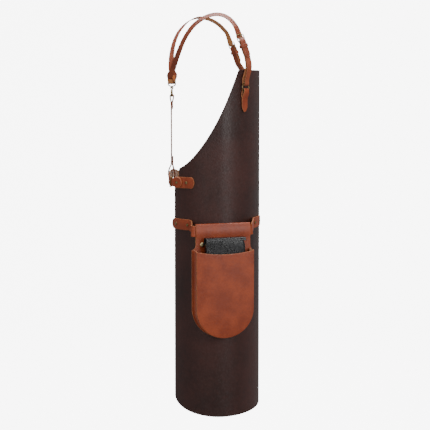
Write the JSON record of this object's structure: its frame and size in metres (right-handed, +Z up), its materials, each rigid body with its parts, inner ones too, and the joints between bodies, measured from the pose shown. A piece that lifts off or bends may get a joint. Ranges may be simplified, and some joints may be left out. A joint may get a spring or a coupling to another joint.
{
  "type": "butcher apron",
  "caption": "Long leather butcher apron with a wrapped bib, buckled shoulder straps clipped behind the neck, a waist strap on side knobs and a holster pocket hung on a hip belt.",
  "frame": {"origin": "the shoulder rest, between the undersides of the two shoulder straps near their crowns", "axes": "+Z up; the wearer faces -Y; the wearer's right hand is at -X"},
  "size_m": [0.4099, 0.2764, 1.1506],
  "materials": {
    "brown_hide": "smooth dark brown hide, soft satin",
    "cognac_leather": "cognac leather, satin, pale raw cut edges",
    "strap_leather": "reddish brown strap leather, tan flesh side",
    "antique_brass": "antique brass, soft polish",
    "black_leather": "black leather, satin"
  },
  "bodies": {
    "apron": {"apron_panel": "brown_hide", "side_tab_right": "cognac_leather", "side_tab_left": "cognac_leather", "side_tab_rivet_right": "antique_brass", "side_tab_rivet_left": "antique_brass", "carrier_belt": "cognac_leather", "belt_rivet_1": "antique_brass", "belt_rivet_2": "antique_brass", "belt_rivet_3": "antique_brass", "belt_rivet_4": "antique_brass", "bib_tab_right": "cognac_leather", "bib_tab_left": "cognac_leather", "chest_strap_right": "strap_leather", "chest_strap_left": "strap_leather", "buckle_frame_right": "antique_brass", "buckle_frame_left": "antique_brass", "shoulder_strap_right": "strap_leather", "shoulder_strap_left": "strap_leather", "hook_bow": "antique_brass", "back_strap": "strap_leather", "waist_strap": "strap_leather", "waist_loop_right": "antique_brass", "waist_loop_left": "antique_brass"},
    "hanger": {"hanger_loop": "cognac_leather"},
    "pocket": {"pocket_back": "cognac_leather", "hanger_return": "cognac_leather", "pocket_front": "cognac_leather", "pocket_gusset": "cognac_leather", "hanger_stud_rear": "antique_brass", "hanger_stud_front": "antique_brass"},
    "insert": {"insert_case": "black_leather", "insert_flap": "black_leather"},
    "hook": {"hook_barrel": "antique_brass", "hook_body": "antique_brass", "hook_arm": "antique_brass"},
    "gate": {"hook_gate": "antique_brass"},
    "prong_right": {"buckle_prong_right": "antique_brass"},
    "prong_left": {"buckle_prong_left": "antique_brass"},
    "keeper_band_right": {"keeper_right": "strap_leather"},
    "keeper_band_left": {"keeper_left": "strap_leather"},
    "ring_right": {"bib_ring_right": "antique_brass"},
    "ring_left": {"bib_ring_left": "antique_brass"},
    "knob_right": {"knob_disc_right": "cognac_leather", "knob_post_right": "antique_brass"},
    "knob_left": {"knob_disc_left": "cognac_leather", "knob_post_left": "antique_brass"}
  },
  "joints": [
    {"name": "hanger_slide", "type": "slide", "parent": "apron", "child": "hanger", "axis": [0.3584, -0.9336, 0], "range_m": [-0.003, 0.003]},
    {"name": "pocket_swing", "type": "hinge", "parent": "hanger", "child": "pocket", "pos_m": [-0.1767, -0.02108, -0.62], "axis": [-0.3584, 0.9336, 0], "range_deg": [0, 3]},
    {"name": "insert_slide", "type": "slide", "parent": "pocket", "child": "insert", "axis": [0, 0, 1], "range_m": [0, 0.14]},
    {"name": "hook_swivel", "type": "hinge", "parent": "apron", "child": "hook", "pos_m": [0, 0.139, -0.206], "axis": [0, 0, 1], "range_deg": [-8, 8]},
    {"name": "gate_hinge", "type": "hinge", "parent": "hook", "child": "gate", "pos_m": [0.0136, 0.139, -0.2117], "axis": [0, 1, 0], "range_deg": [0, 25], "stiffness_Nm_per_rad": 0.01, "springref_deg": -11.46},
    {"name": "prong_hinge_right", "type": "hinge", "parent": "apron", "child": "prong_right", "pos_m": [-0.1177, -0.07217, -0.07538], "axis": [0.5878, -0.7838, 0.2004], "range_deg": [0, 60]},
    {"name": "prong_hinge_left", "type": "hinge", "parent": "apron", "child": "prong_left", "pos_m": [0.12806, -0.03197, -0.08678], "axis": [0.595, 0.7933, -0.1289], "range_deg": [0, 60]},
    {"name": "keeper_slide_right", "type": "slide", "parent": "apron", "child": "keeper_band_right", "axis": [-0.1262, -0.3335, -0.9343], "range_m": [-0.003, 0.005]},
    {"name": "keeper_slide_left", "type": "slide", "parent": "apron", "child": "keeper_band_left", "axis": [0.2169, -0.3129, -0.9247], "range_m": [-0.003, 0.005]},
    {"name": "ring_swing_right", "type": "hinge", "parent": "apron", "child": "ring_right", "pos_m": [-0.12771, -0.08387, -0.216], "axis": [-0.7788, 0.6273, 0], "range_deg": [-2, 2]},
    {"name": "ring_swing_left", "type": "hinge", "parent": "apron", "child": "ring_left", "pos_m": [0.12771, -0.08387, -0.216], "axis": [-0.7788, -0.6273, 0], "range_deg": [-2, 2]},
    {"name": "knob_turn_right", "type": "hinge", "parent": "apron", "child": "knob_right", "pos_m": [-0.13185, 0.10797, -0.471], "axis": [-0.893, 0.45, 0], "continuous": true},
    {"name": "knob_turn_left", "type": "hinge", "parent": "apron", "child": "knob_left", "pos_m": [0.13185, 0.10797, -0.471], "axis": [0.893, 0.45, 0], "continuous": true}
  ]
}
